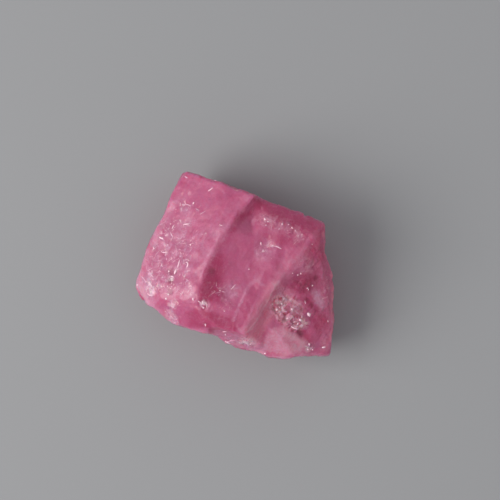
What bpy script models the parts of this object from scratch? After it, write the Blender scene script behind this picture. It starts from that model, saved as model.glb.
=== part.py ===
"""A rubellite crystal: a short broken prism of cloudy pink tourmaline, lying on a flat prism face.

+Z is up and the origin is under the middle of the crystal, on the face that it rests on. The
crystal's growth axis lies level, from the back towards the front left. Seen from above, one prism
face slopes down to the left, a second one is nearly level across the middle, and the right-hand
side is a rough break that steps down. Both ends are broken across.
"""

import math

import bmesh
import bpy
from mathutils import Euler, Matrix, Vector, noise

MM = 0.001  # the sizes below are in millimetres, and the scene is in metres

# Driving dimensions.
HEIGHT = 7.5  # from the resting face to the top prism face
BLOCK_TOP = 9.0  # the rough block is this tall before its faces are cut
STEP_REACH = 40.0  # a step's cutter is this wide before it is cut
REST_TRIM = 0.12  # taken off the bottom last, to leave one true flat face

# The outline from above, anticlockwise from the back left corner: the edges where the sloping upper
# faces meet the walls.
OUTLINE = (
    (-3.60, 7.13),
    (-4.00, 6.60),
    (-5.15, 4.10),
    (-6.15, 2.10),
    (-6.90, 0.35),
    (-7.55, -1.65),
    (-7.10, -2.35),
    (-6.50, -2.98),
    (-5.70, -3.36),
    (-5.15, -3.90),
    (-4.45, -4.48),
    (-1.40, -5.30),
    (-0.40, -5.95),
    (1.70, -6.50),
    (2.50, -6.95),
    (3.90, -7.10),
    (5.10, -6.85),
    (7.25, -6.90),
    (7.40, -5.10),
    (7.55, -4.30),
    (7.35, -3.20),
    (7.50, -1.00),
    (6.75, 0.90),
    (6.70, 3.10),
    (1.90, 5.00),
)

# Upper faces: a point on the face, the way it falls (degrees from +X) and how steeply it falls.
UPPER_FACES = {
    "top prism face": ((-1.5, 1.2, HEIGHT), -24.0, 3.0),
    "left prism face": ((-1.5, 1.2, HEIGHT), 156.0, 34.0),
    "back left face": ((0.2, 3.4, HEIGHT), 134.0, 23.0),
    "right face": ((4.2, -0.2, 7.15), -38.0, 29.0),
    "front bevel": ((-0.5, -3.3, 7.3), -104.0, 17.0),
    "front left chamfer": ((-5.7, -3.4, 5.1), -128.0, 46.0),
    "left tip chamfer": ((-7.0, -1.0, 4.3), 178.0, 50.0),
    "right rim": ((7.3, -3.0, 4.5), -4.0, 60.0),
}

# Walls under the outline: a point on the wall, the way it faces and how far it leans in below.
LOWER_WALLS = {
    "left wall": ((-6.15, 2.10, 3.6), 156.0, 27.0),
    "back wall": ((1.90, 5.00, 5.2), 68.5, 9.0),
    "right wall": ((7.50, -2.50, 3.6), -2.0, 21.0),
    "back right wall": ((6.72, 2.00, 4.4), 12.0, 16.0),
    "front wall": ((1.70, -6.50, 2.6), -104.0, 18.0),
    "front left wall": ((-5.10, -3.95, 2.6), -130.0, 24.0),
    "front right corner": ((7.00, -6.95, 2.8), -62.0, 30.0),
}

# Steps down in the break. Each has a floor (a point on it, the way it falls, its slope) and one or
# more scarps above the floor (a point on the scarp, the way it faces, its slope).
STEPS = {
    "right terrace": (
        ((2.45, -3.56, 6.30), -52.0, 17.0),
        [((2.13, -3.41, 6.8), -37.0, 48.0), ((4.05, -0.86, 6.9), -60.0, 44.0)],
    ),
    "pale front face": (
        ((2.6, -4.5, 6.10), -103.0, 33.0),
        [((2.13, -3.41, 6.8), -37.0, 48.0)],
    ),
    "front ledge": (
        ((0.2, -5.9, 4.7), -104.0, 22.0),
        [((0.2, -5.35, 6.0), -103.0, 66.0), ((-1.6, -5.2, 5.5), -20.0, 60.0)],
    ),
    "back bevel": (
        ((3.0, 3.45, 7.1), 68.5, 35.0),
        [((1.0, 4.4, 7.3), -37.0, 62.0)],
    ),
    "edge notch": (
        ((1.1, 3.9, 6.6), 20.0, 8.0),
        [
            ((1.0, 4.4, 7.3), -37.0, 62.0),
            ((0.9, 3.0, 6.8), 62.0, 30.0),
            ((2.2, 4.2, 7.0), 158.0, 38.0),
        ],
    ),
}

# Shell-shaped breaks, each the hollow that an egg of these half-sizes leaves: its middle, its
# half-sizes, and its turn about +Z in degrees.
BREAKS = {
    "valley across the top": ((1.05, 0.20, 14.00), (17.0, 8.00, 6.90), 62.0),
    "right shell": ((7.60, -4.20, 7.30), (2.40, 2.90, 2.65), 10.0),
    "front pit": ((5.45, -5.35, 6.15), (1.25, 0.70, 1.40), 142.0),
    "front left shell": ((-3.90, -6.70, 4.40), (3.10, 1.95, 3.20), -24.0),
    "back corner shell": ((-1.60, 9.20, 2.60), (3.90, 3.20, 2.60), -21.0),
    "back wall shell": ((3.60, 7.10, 3.10), (3.40, 2.90, 2.30), -24.0),
    "back right shell": ((8.60, 2.10, 1.10), (2.30, 3.30, 2.50), 5.0),
    "left wall shell": ((-8.10, -0.20, 0.40), (1.70, 2.60, 2.30), -24.0),
    "front wall shell": ((2.40, -8.70, 0.50), (3.20, 2.30, 2.30), -10.0),
}

# Relief on the broken surface.
WAVES = ((2.6, 0.10), (1.1, 0.07), (0.5, 0.035))  # length and height of each set of waves
HOLLOW_AT = Vector((4.7, -2.5, 5.2))  # the rough floor of the hollow
HOLLOW_REACH = 2.3
HOLLOW_ROUGHNESS = 0.14
RIDGE_WIDTH = 1.3  # the width of the hollow's largest ridges
RIDGE_FADE = 1.0  # how fast the finer ridges grow weaker
RIDGE_STEP = 2.1  # how much finer each layer of ridges is
RIDGE_LAYERS = 3
RIDGE_OFFSET = 1.0
RIDGE_GAIN = 2.0
RIDGE_MEAN = 1.2  # the ridges' own mean, which is taken off
CALM_BELOW = 0.6  # the relief fades out this far above the resting face
REMESH_SIZE = 0.17
MOST_TRIANGLES = 5600
EGG_FINENESS = 4  # subdivisions of the eggs that the shell-shaped breaks are cut with
CUT_TOLERANCE = 1e-7  # metres

COLOUR = (0.47, 0.11, 0.20, 1.0)
ROUGHNESS = 0.28


def clear_scene():
    """Remove everything that the file opened with."""
    for old in list(bpy.data.objects):
        bpy.data.objects.remove(old, do_unlink=True)


def heading(degrees):
    """The level direction at this angle from +X."""
    angle = math.radians(degrees)
    return Vector((math.cos(angle), math.sin(angle), 0.0))


def upper_normal(falls_to, slope):
    """The outward normal of a face that falls this way at this slope."""
    tilt = math.radians(slope)
    return heading(falls_to) * math.sin(tilt) + Vector((0.0, 0.0, math.cos(tilt)))


def wall_normal(faces, lean):
    """The outward normal of a wall that faces this way and leans in below."""
    tilt = math.radians(lean)
    return heading(faces) * math.cos(tilt) - Vector((0.0, 0.0, math.sin(tilt)))


def cut_face(shape, point, normal):
    """Cut away all of the shape that is outside one plane, and close the cut."""
    everything = shape.verts[:] + shape.edges[:] + shape.faces[:]
    bmesh.ops.bisect_plane(
        shape, geom=everything, dist=CUT_TOLERANCE, plane_co=point, plane_no=normal, clear_outer=True
    )
    open_edges = [edge for edge in shape.edges if edge.is_boundary]
    if open_edges:
        bmesh.ops.holes_fill(shape, edges=open_edges, sides=0)


def cut_block():
    """The crystal as a block with flat faces: the outline drawn up, then each plane cut."""
    shape = bmesh.new()
    rim = [shape.verts.new(Vector((x, y, 0.0)) * MM) for x, y in OUTLINE]
    floor = shape.faces.new(rim)
    grown = bmesh.ops.extrude_face_region(shape, geom=[floor])["geom"]
    lifted = [item for item in grown if isinstance(item, bmesh.types.BMVert)]
    bmesh.ops.translate(shape, verts=lifted, vec=(0.0, 0.0, BLOCK_TOP * MM))
    bmesh.ops.recalc_face_normals(shape, faces=shape.faces[:])
    for point, falls_to, slope in UPPER_FACES.values():
        cut_face(shape, Vector(point) * MM, upper_normal(falls_to, slope))
    for point, faces, lean in LOWER_WALLS.values():
        cut_face(shape, Vector(point) * MM, wall_normal(faces, lean))
    bmesh.ops.recalc_face_normals(shape, faces=shape.faces[:])
    return shape


def object_from(shape, name):
    """A scene object that holds this shape."""
    mesh = bpy.data.meshes.new(name)
    shape.to_mesh(mesh)
    shape.free()
    made = bpy.data.objects.new(name, mesh)
    bpy.context.scene.collection.objects.link(made)
    return made


def hidden(cutter):
    """Mark a helper, so that it is cut with but not shown."""
    cutter.hide_render = True
    cutter.display_type = "WIRE"
    return cutter


def break_cutter(name, middle, half_sizes, turn):
    """A hidden egg that takes one shell-shaped break out of the crystal."""
    shape = bmesh.new()
    bmesh.ops.create_icosphere(shape, subdivisions=EGG_FINENESS, radius=1.0)
    size = Matrix.Diagonal(Vector(half_sizes) * MM).to_4x4()
    spin = Euler((0.0, 0.0, math.radians(turn))).to_matrix().to_4x4()
    place = Matrix.Translation(Vector(middle) * MM)
    bmesh.ops.transform(shape, verts=shape.verts[:], matrix=place @ spin @ size)
    return hidden(object_from(shape, name))


def step_cutter(name, floor, scarps):
    """A hidden wedge that leaves a floor with a scarp behind it."""
    shape = bmesh.new()
    bmesh.ops.create_cube(shape, size=STEP_REACH * MM)
    lowest = Vector(floor[0]) * MM
    cut_face(shape, lowest, -upper_normal(floor[1], floor[2]))
    for point, faces, slope in scarps:
        cut_face(shape, Vector(point) * MM, -upper_normal(faces, slope))
    bmesh.ops.recalc_face_normals(shape, faces=shape.faces[:])
    return hidden(object_from(shape, name))


def take_out(crystal, label, cutter):
    """Take the cutter's shape out of the crystal with a Boolean."""
    boolean = crystal.modifiers.new(label, "BOOLEAN")
    boolean.operation = "DIFFERENCE"
    boolean.solver = "EXACT"
    boolean.object = cutter


def take_breaks(crystal):
    """Take every step and every shell-shaped break out of the crystal."""
    for number, (label, (floor, scarps)) in enumerate(STEPS.items()):
        take_out(crystal, label, step_cutter(f"step_{number}", floor, scarps))
    for number, (label, (middle, half_sizes, turn)) in enumerate(BREAKS.items()):
        take_out(crystal, label, break_cutter(f"break_{number}", middle, half_sizes, turn))


def even_skin(crystal):
    """Give the whole surface small even faces, so that relief can be carved in it."""
    remesh = crystal.modifiers.new("even skin", "REMESH")
    remesh.mode = "VOXEL"
    remesh.voxel_size = REMESH_SIZE * MM


def bake_modifiers(crystal):
    """Replace the crystal's mesh with what its modifiers make, and take the modifiers off."""
    graph = bpy.context.evaluated_depsgraph_get()
    made = bpy.data.meshes.new_from_object(crystal.evaluated_get(graph))
    crystal.modifiers.clear()
    crystal.data = made


def wave_push(place):
    """How far the broken surface stands out at this place, in millimetres."""
    push = 0.0
    for length, height in WAVES:
        push += height * noise.noise(place / length)
    near = max(0.0, 1.0 - (place - HOLLOW_AT).length / HOLLOW_REACH)
    rough = noise.ridged_multi_fractal(
        place / RIDGE_WIDTH, RIDGE_FADE, RIDGE_STEP, RIDGE_LAYERS, RIDGE_OFFSET, RIDGE_GAIN
    )
    return push + HOLLOW_ROUGHNESS * near * (rough - RIDGE_MEAN)


def carve_relief(crystal):
    """Carve the waves of the break into the even skin, leaving the resting face flat."""
    mesh = crystal.data
    moved = []
    for vertex in mesh.vertices:
        place = vertex.co / MM
        calm = min(1.0, max(0.0, place.z / CALM_BELOW))
        moved.append(vertex.co + vertex.normal * wave_push(place) * calm * MM)
    for vertex, place in zip(mesh.vertices, moved):
        vertex.co = place


def thin_out(crystal):
    """Leave large faces where the crystal is flat and small ones where it is rough."""
    crystal.data.calc_loop_triangles()
    thin = crystal.modifiers.new("thin out", "DECIMATE")
    thin.decimate_type = "COLLAPSE"
    thin.ratio = MOST_TRIANGLES / len(crystal.data.loop_triangles)
    thin.use_collapse_triangulate = True


def flatten_rest(crystal):
    """Trim the bottom to one true flat face, and stand it on the ground under the origin."""
    shape = bmesh.new()
    shape.from_mesh(crystal.data)
    cut_face(shape, Vector((0.0, 0.0, REST_TRIM * MM)), Vector((0.0, 0.0, -1.0)))
    bmesh.ops.triangulate(shape, faces=shape.faces[:])
    low = Vector([min(vertex.co[axis] for vertex in shape.verts) for axis in range(3)])
    high = Vector([max(vertex.co[axis] for vertex in shape.verts) for axis in range(3)])
    middle = (low + high) / 2
    bmesh.ops.translate(shape, verts=shape.verts[:], vec=(-middle.x, -middle.y, -low.z))
    bmesh.ops.recalc_face_normals(shape, faces=shape.faces[:])
    shape.to_mesh(crystal.data)
    shape.free()


def pink_stone():
    """The crystal's own colour: cloudy pink-red with a soft gloss."""
    material = bpy.data.materials.new("rubellite")
    material.use_nodes = True
    shader = material.node_tree.nodes["Principled BSDF"]
    shader.inputs["Base Color"].default_value = COLOUR
    shader.inputs["Roughness"].default_value = ROUGHNESS
    shader.inputs["Metallic"].default_value = 0.0
    return material


def main():
    """Make the crystal."""
    clear_scene()
    crystal = object_from(cut_block(), "rubellite_crystal")
    take_breaks(crystal)
    even_skin(crystal)
    bake_modifiers(crystal)
    carve_relief(crystal)
    thin_out(crystal)
    bake_modifiers(crystal)
    flatten_rest(crystal)
    crystal.data.materials.clear()
    crystal.data.materials.append(pink_stone())


main()
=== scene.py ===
"""A rubellite crystal, finished for close looks: a short broken prism of cloudy pink tourmaline.

The solid crystal comes from the frame. Its skin is made again here with finer faces, and carved with
the marks that the crystal bears: growth lines on its prism faces, a rough hollow, a smooth tongue,
chipped edges and small pits. Its colours also hold painted glow, painted highlights and painted shade.
Hollow needles, healed cracks and bright flakes lie in and under it; the white slivers on its skin are
painted glints.

Sizes and places are in millimetres, in the frame's axes: +Z is up, and the origin is under the middle
of the crystal. Angles are in degrees, anticlockwise from +X seen from above. Meshes are in metres.
"""

import logging
import math
from collections.abc import Callable, Mapping, Sequence
from dataclasses import dataclass, field
from enum import Enum
from typing import Any

import bmesh
import bpy
import numpy as np
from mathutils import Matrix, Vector, noise
from mathutils.bvhtree import BVHTree


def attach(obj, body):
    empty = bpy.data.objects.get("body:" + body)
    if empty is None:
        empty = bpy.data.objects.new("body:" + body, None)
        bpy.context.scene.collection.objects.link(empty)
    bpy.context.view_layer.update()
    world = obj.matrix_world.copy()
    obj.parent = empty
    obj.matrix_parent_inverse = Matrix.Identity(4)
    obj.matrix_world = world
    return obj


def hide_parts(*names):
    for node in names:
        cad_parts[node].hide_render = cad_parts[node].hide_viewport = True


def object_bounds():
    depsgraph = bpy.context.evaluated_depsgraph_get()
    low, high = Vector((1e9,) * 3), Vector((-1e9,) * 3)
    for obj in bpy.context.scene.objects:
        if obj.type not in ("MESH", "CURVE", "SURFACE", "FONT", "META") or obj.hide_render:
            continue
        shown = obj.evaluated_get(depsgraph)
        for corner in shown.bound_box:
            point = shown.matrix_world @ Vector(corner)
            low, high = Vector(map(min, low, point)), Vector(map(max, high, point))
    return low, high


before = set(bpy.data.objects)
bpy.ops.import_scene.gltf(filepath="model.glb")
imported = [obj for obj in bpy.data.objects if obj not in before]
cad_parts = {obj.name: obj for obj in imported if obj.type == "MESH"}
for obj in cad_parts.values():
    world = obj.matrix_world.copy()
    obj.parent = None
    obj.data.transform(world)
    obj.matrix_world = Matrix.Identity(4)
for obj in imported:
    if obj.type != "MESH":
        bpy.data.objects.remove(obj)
CAD_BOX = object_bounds()

LOG = logging.getLogger("rubellite")
MM = 0.001
CRYSTAL_NODE = "rubellite_crystal"
BODY = "root"

GROWTH_HEADING = 58.5  # the way the growth axis runs, seen from above
GROWTH_ANGLE = math.radians(GROWTH_HEADING)
ALONG = (math.cos(GROWTH_ANGLE), math.sin(GROWTH_ANGLE))
ACROSS = (-math.sin(GROWTH_ANGLE), math.cos(GROWTH_ANGLE))

Point = tuple[float, float]
Place = tuple[float, float, float]
Colour = tuple[float, float, float]


def linear(red: int, green: int, blue: int) -> Colour:
    """The linear colour of a screen colour, by the standard screen curve.

    Args:
        red: Screen red, from 0 to 255.
        green: Screen green, from 0 to 255.
        blue: Screen blue, from 0 to 255.

    Returns:
        The three linear values, from 0 to 1.
    """
    shares = (value / 255 for value in (red, green, blue))
    return tuple(s / 12.92 if s <= 0.04045 else ((s + 0.055) / 1.055) ** 2.4 for s in shares)


class Tint(Enum):
    """The colours of the crystal, of what lies in it and of the studio."""

    ROSE = linear(208, 98, 146)
    CRIMSON = linear(193, 48, 111)
    # painted glow: light shining through the stone, painted into the colour; it also warms the tint
    GLOW = linear(242, 112, 152)
    MAROON = linear(134, 26, 64)
    MILKY = linear(224, 163, 194)
    # the milky colour under the painted glow
    PEACH = linear(238, 168, 182)
    FROST = linear(255, 216, 227)
    FLAKE = linear(255, 241, 246)
    # the white of the slivers that are painted glints
    SLIVER = linear(252, 214, 228)
    NEEDLE = linear(247, 203, 219)
    FLOOR = linear(145, 146, 148)
    SKY = linear(240, 240, 243)
    LAMP = linear(255, 253, 250)

    @property
    def opaque(self) -> tuple[float, float, float, float]:
        """The colour with an alpha of 1."""
        return (*self.value, 1.0)


# Node trees.


def socket_named(sockets: Any, key: str) -> bpy.types.NodeSocket:
    """Find a node's socket by its identifier, or by its name where no identifier fits."""
    exact = [socket for socket in sockets if socket.identifier == key]
    return exact[0] if exact else sockets[key]


def operator(operation: str, swapped: bool = False) -> Callable[..., "Signal"]:
    """Make a signal's method for one of Python's operators.

    Args:
        operation: The operation of the Math node that it adds.
        swapped: Whether the other value comes first.

    Returns:
        The method.
    """

    def method(self: "Signal", other: "Signal | float" = 0.0) -> "Signal":
        """Add a Math node on this signal and the other value."""
        return self.kit.maths(operation, *((other, self) if swapped else (self, other)))

    return method


class Signal:
    """A number that comes out of a node. Python's operators on it add Math nodes."""

    __add__, __radd__ = operator("ADD"), operator("ADD", swapped=True)
    __sub__, __rsub__ = operator("SUBTRACT"), operator("SUBTRACT", swapped=True)
    __mul__, __rmul__ = operator("MULTIPLY"), operator("MULTIPLY", swapped=True)
    __pow__ = operator("POWER")
    __abs__ = operator("ABSOLUTE")

    def __init__(self, kit: "NodeKit", socket: bpy.types.NodeSocket) -> None:
        self.kit = kit
        self.socket = socket

    def within(self, low: float = 0.0, high: float = 1.0) -> "Signal":
        """Return self held between low and high."""
        return self.kit.maths("MINIMUM", self.kit.maths("MAXIMUM", self, low), high)

    def step(self, low: float, high: float) -> "Signal":
        """Return a smooth step that is 0 at low and 1 at high."""
        inputs = {"Value": self, "From Min": low, "From Max": high}
        return self.kit.signal("ShaderNodeMapRange", inputs, "Result", interpolation_type="SMOOTHSTEP")


@dataclass(frozen=True)
class Lumps:
    """A noise: the size of its lumps, its finer layers, how strong these are and how far they swirl."""

    size: float
    layers: float
    rough: float = 0.55
    swirl: float = 0.0


class NodeKit:
    """Adds nodes to one node tree. A node that is given as a value stands for its first output."""

    def __init__(self, tree: bpy.types.NodeTree) -> None:
        """Work on this tree."""
        self.tree = tree

    def add(self, kind: str, inputs: Mapping[str, Any] | None = None, **settings: Any) -> bpy.types.Node:
        """Add one node.

        Args:
            kind: The node's type.
            inputs: A value or a link for each socket, by identifier or name.
            **settings: The node's own settings, which are set first.

        Returns:
            The node.
        """
        node = self.tree.nodes.new(kind)
        for name, value in settings.items():
            setattr(node, name, value)
        for key, value in (inputs or {}).items():
            socket = socket_named(node.inputs, key)
            source = value.socket if isinstance(value, Signal) else value
            source = source.outputs[0] if isinstance(source, bpy.types.Node) else source
            if isinstance(source, bpy.types.NodeSocket):
                self.tree.links.new(source, socket)
            else:
                socket.default_value = source
        return node

    def signal(
        self, kind: str, inputs: Mapping[str, Any] | None = None, output: str = "Value", **settings: Any
    ) -> Signal:
        """Add one node and wrap one of its outputs.

        Args:
            kind: The node's type.
            inputs: A value or a link for each socket, by identifier or name.
            output: The output's identifier or name.
            **settings: The node's own settings.

        Returns:
            The output as a signal.
        """
        return Signal(self, socket_named(self.add(kind, inputs, **settings).outputs, output))

    def maths(self, operation: str, first: Signal | float, second: Signal | float) -> Signal:
        """Add one Math node on two values."""
        return self.signal("ShaderNodeMath", {"Value": first, "Value_001": second}, operation=operation)

    def mixed(self, factor: Signal, first: Any, second: Any) -> bpy.types.NodeSocket:
        """Mix two colours, and return the socket of the result."""
        inputs = {"Factor_Float": factor, "A_Color": first, "B_Color": second}
        return socket_named(self.add("ShaderNodeMix", inputs, data_type="RGBA").outputs, "Result_Color")

    def mask(self, name: str) -> Signal:
        """Read a mask that the shaded mesh holds, from 0 to 1."""
        return self.signal("ShaderNodeAttribute", None, "Fac", attribute_name=name)

    def attribute(self, name: str) -> Signal:
        """Read a number that the points of a geometry hold."""
        return self.signal("GeometryNodeInputNamedAttribute", {"Name": name}, "Attribute", data_type="FLOAT")

    def random(self, low: Any, high: Any, seed: int) -> Signal:
        """Add a random number for each point, from low to high."""
        inputs = {"Min_001": low, "Max_001": high, "Seed": seed}
        return self.signal("FunctionNodeRandomValue", inputs, "Value_001", data_type="FLOAT")

    def lumps(self, vector: Any, kind: Lumps, seed: int | None = None) -> Signal:
        """Add a noise.

        Args:
            vector: The place.
            kind: The noise, with its size in the place's unit.
            seed: A number that picks the noise, where two pieces would otherwise share it.

        Returns:
            The noise, from 0 to 1.
        """
        inputs = {"Vector": vector, "Scale": 1 / kind.size, "Detail": kind.layers}
        inputs |= {"Roughness": kind.rough, "Distortion": kind.swirl}
        if seed is None:
            return self.signal("ShaderNodeTexNoise", inputs, "Fac", noise_dimensions="3D")
        inputs["W"] = float(seed)
        return self.signal("ShaderNodeTexNoise", inputs, "Fac", noise_dimensions="4D")


# Finishes.


def new_material(name: str) -> tuple[bpy.types.Material, NodeKit]:
    """Start an empty material.

    Args:
        name: The material's name.

    Returns:
        The material, and a kit on its tree.
    """
    material = bpy.data.materials.new(name)
    material.use_nodes = True
    material.node_tree.nodes.clear()
    return material, NodeKit(material.node_tree)


def place_in_mm(kit: NodeKit, turn: float = 0.0, stretch: float = 1.0) -> bpy.types.Node:
    """The shaded point in millimetres, for a pattern's vector.

    Args:
        turn: The heading that becomes the pattern's own X.
        stretch: How many times longer the pattern is along its X.

    Returns:
        The node that gives the vector.
    """
    coords = kit.add("ShaderNodeTexCoord").outputs["Object"]
    inputs = {"Vector": coords, "Rotation": (0.0, 0.0, -math.radians(turn)), "Scale": (1 / MM,) * 3}
    facing = kit.add("ShaderNodeMapping", inputs, vector_type="POINT")
    if stretch == 1.0:
        return facing
    inputs = {"Vector": facing, "Scale": (1 / stretch, 1.0, 1.0)}
    return kit.add("ShaderNodeMapping", inputs, vector_type="POINT")


@dataclass(frozen=True)
class RubelliteFinish:
    """Cloudy pink tourmaline: see-through a little way in, with milky, clear and frosted places."""

    ior: float = 1.63
    gloss: float = 0.35
    clearness: float = 0.38
    scatter: float = 0.9 * MM
    scatter_reach: Colour = (1.0, 0.30, 0.45)
    passes: Colour = (0.93, 0.30, 0.55)  # what a thin slice lets through
    density: float = 200.0  # a metre
    roughness: float = 0.38
    smoothest: float = 0.28
    roughest: float = 0.8
    coat_roughness: float = 0.12
    bump: float = 0.7
    bump_height: float = 0.032 * MM
    chunk: float = 0.32  # the width of a broken chip
    region: Lumps = Lumps(2.2, 3.0)
    mottle: Lumps = Lumps(0.6, 4.0, 0.62)
    speck: Lumps = Lumps(0.14, 2.0, 0.6)
    fleck: Lumps = Lumps(0.2, 3.0, 0.7)
    feather: Lumps = Lumps(0.5, 3.0, 0.65, 1.6)
    streak: Lumps = Lumps(0.3, 3.0, 0.6)
    streak_stretch: float = 6.0  # how many times longer than wide
    wisp: Lumps = Lumps(0.7, 2.0, 0.5, 0.8)
    wisp_patch: Lumps = Lumps(1.1, 1.0)
    thread: Lumps = Lumps(0.42, 1.0, 0.5, 1.2)
    tangle: Lumps = Lumps(0.6, 1.0)
    curl: Lumps = Lumps(0.42, 0.0, 0.5, 1.0)
    stroke: Lumps = Lumps(0.3, 1.0)
    crowd: Lumps = Lumps(0.9, 1.0)
    smear: Lumps = Lumps(0.8, 3.0)
    grit: Lumps = Lumps(0.1, 3.0, 0.6)
    groove: Lumps = Lumps(0.16, 2.0)
    groove_stretch: float = 8.0

    def wisps(self, kit: NodeKit, vector: Any) -> Signal:
        """Thin pale wisps that lie in patches.

        Args:
            vector: The place in millimetres.

        Returns:
            1 on a wisp and 0 off it.
        """
        line = 1.0 - abs(kit.lumps(vector, self.wisp) - 0.5).step(0.008, 0.045)
        patch = kit.lumps(vector, self.wisp_patch).step(0.48, 0.60)
        thread = 1.0 - abs(kit.lumps(vector, self.thread) - 0.46).step(0.010, 0.060)
        tangle = kit.lumps(vector, self.tangle).step(0.48, 0.60)
        face = kit.mask("face")
        return (line * patch * (face * 0.6 + 0.25) + thread * tangle * face).within()

    def strokes(self, kit: NodeKit, vector: Any) -> Signal:
        """Short pale strokes, mostly on the scratched places.

        Args:
            vector: The place in millimetres.

        Returns:
            1 on a stroke and 0 off it.
        """
        curl = 1.0 - abs(kit.lumps(vector, self.curl) - 0.5).step(0.02, 0.08)
        piece = kit.lumps(vector, self.stroke).step(0.50, 0.57)
        crowd = kit.lumps(vector, self.crowd).step(0.42, 0.60)
        return curl * piece * crowd * (kit.mask("face") * 0.92 + 0.08)

    def colour(self, kit: NodeKit, vector: Any) -> bpy.types.NodeSocket:
        """Lay the crystal's colours over each other, by the masks of its skin and the clouds in it.

        Args:
            vector: The place in millimetres.

        Returns:
            The socket of the colour.
        """
        names = ("depth", "dark", "cloud", "frost", "glow", "edge", "wall")
        depth, dark, cloud, frost, glow, edge, wall = (kit.mask(name) for name in names)
        region = kit.lumps(vector, self.region)
        mottle = kit.lumps(vector, self.mottle)
        speck = kit.lumps(vector, self.speck)
        fleck = kit.lumps(vector, self.fleck).step(0.47, 0.66)
        streak = kit.lumps(place_in_mm(kit, GROWTH_HEADING, self.streak_stretch), self.streak)
        feather = kit.lumps(vector, self.feather)
        chunk = kit.signal("ShaderNodeTexVoronoi", {"Vector": vector, "Scale": 1 / self.chunk}, "Color")

        deeper = depth * (0.65 + mottle * 0.7) + (0.5 - region) * (0.7 + wall * 1.6) + (0.5 - mottle) * 0.4
        # Walls and convex edges come out less deep and milkier: painted glow of light passing through the
        # walls and the thin edges.
        deeper = deeper + (0.5 - streak) * (0.3 + wall * 0.9) - edge * 0.25 - wall * 0.1
        deeper = deeper + frost * (0.5 - chunk) * 1.8
        darker = (dark * (0.4 + mottle * 1.2)).within()
        darker = (darker + frost * (0.42 - chunk).within() * 0.9).within()
        milkier = cloud * (0.35 + feather * 0.7 + fleck * 0.7) + (mottle - 0.5) * 0.3
        milkier = milkier + (speck - 0.5) * 0.4 + (feather - 0.5) * (0.45 + wall * 0.5)
        milkier = milkier + (streak - 0.5) * (0.3 + wall * 0.6) + wall * 0.05
        milkier = (milkier + edge * 0.3 + self.wisps(kit, vector) * 0.5).within()
        # Frosted places break into chips: some come out whiter, as painted glints, and some deeper or
        # darker. The pale strokes are added here as well.
        whiter = frost * (chunk * 4.4 + speck * 2.4 - 2.45) + self.strokes(kit, vector) * 0.75

        # The painted glow of light through the stone warms the milky, frosted and base colours, and walls
        # take some of it as well.
        painted_glow_share = (glow * 0.6).within()
        milky = kit.mixed(painted_glow_share, Tint.MILKY.opaque, Tint.PEACH.opaque)
        frosty = kit.mixed(painted_glow_share, Tint.FROST.opaque, Tint.GLOW.opaque)
        colour = kit.mixed(deeper.within(), Tint.ROSE.opaque, Tint.CRIMSON.opaque)
        colour = kit.mixed((glow + wall * 0.22).within(), colour, Tint.GLOW.opaque)
        colour = kit.mixed(milkier, colour, milky)
        colour = kit.mixed(darker, colour, Tint.MAROON.opaque)
        return kit.mixed(whiter.within(), colour, frosty)

    def coat(self, kit: NodeKit) -> Signal:
        """How glossy each place is on top of its roughness: walls and frosted chips glint most."""
        glints = kit.mask("frost") * 0.4 + kit.mask("cloud") * 0.15 + kit.mask("wall") * 0.1
        return (glints + 0.15).within(0.0, 0.6)

    def material(self) -> bpy.types.Material:
        """Build the crystal's material.

        Returns:
            The material.
        """
        material, kit = new_material("cloudy_rubellite")
        vector = place_in_mm(kit)
        smear = kit.lumps(vector, self.smear)
        grit = kit.lumps(vector, self.grit)
        grooves = kit.lumps(place_in_mm(kit, GROWTH_HEADING, self.groove_stretch), self.groove)
        rough = self.roughness + (smear - 0.5) * 0.5 + (grit - 0.5) * 0.3
        rough = rough + kit.mask("frost") * 0.2 + kit.mask("cloud") * 0.1
        height = grit * 0.7 + grooves * 0.5
        bump = kit.add(
            "ShaderNodeBump", {"Height": height, "Strength": self.bump, "Distance": self.bump_height}
        )
        shader = kit.add(
            "ShaderNodeBsdfPrincipled",
            {
                "Base Color": self.colour(kit, vector),
                "Roughness": rough.within(self.smoothest, self.roughest),
                "Coat Weight": self.coat(kit),
                "Coat Roughness": self.coat_roughness,
                "Normal": bump,
                "IOR": self.ior,
                "Specular IOR Level": self.gloss,
                "Transmission Weight": self.clearness,
                "Subsurface Weight": 1.0,
                "Subsurface Radius": self.scatter_reach,
                "Subsurface Scale": self.scatter,
            },
        )
        inputs = {"Color": (*self.passes, 1.0), "Density": self.density}
        absorb = kit.add("ShaderNodeVolumeAbsorption", inputs)
        kit.add("ShaderNodeOutputMaterial", {"Surface": shader, "Volume": absorb})
        return material


@dataclass(frozen=True)
class PearlFinish:
    """The silvery skin of an air-filled crack, a flake or a hollow needle."""

    name: str
    tint: Tint
    roughness: float = 0.25
    ior: float = 1.5
    sheen: Lumps = Lumps(0.55, 2.0, 0.7)
    mottle: Lumps = Lumps(0.12, 2.0)

    def shine(self, kit: NodeKit, vector: Any) -> Signal:
        """How bright each place is: patches that are a little larger than the pieces."""
        return kit.lumps(vector, self.sheen).step(0.40, 0.60) * 0.8

    def material(self) -> bpy.types.Material:
        """Build a bright material with a faint pearly mottling, or find it if it is there.

        Returns:
            The material.
        """
        if self.name in bpy.data.materials:
            return bpy.data.materials[self.name]
        material, kit = new_material(self.name)
        vector = place_in_mm(kit)
        mottle = kit.lumps(vector, self.mottle)
        paler = (self.shine(kit, vector) + mottle * 0.3).within()
        colour = kit.mixed(paler, Tint.MILKY.opaque, self.tint.opaque)
        inputs = {"Base Color": colour, "Roughness": mottle * 0.2 + self.roughness, "IOR": self.ior}
        kit.add("ShaderNodeOutputMaterial", {"Surface": kit.add("ShaderNodeBsdfPrincipled", inputs)})
        return material


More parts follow.
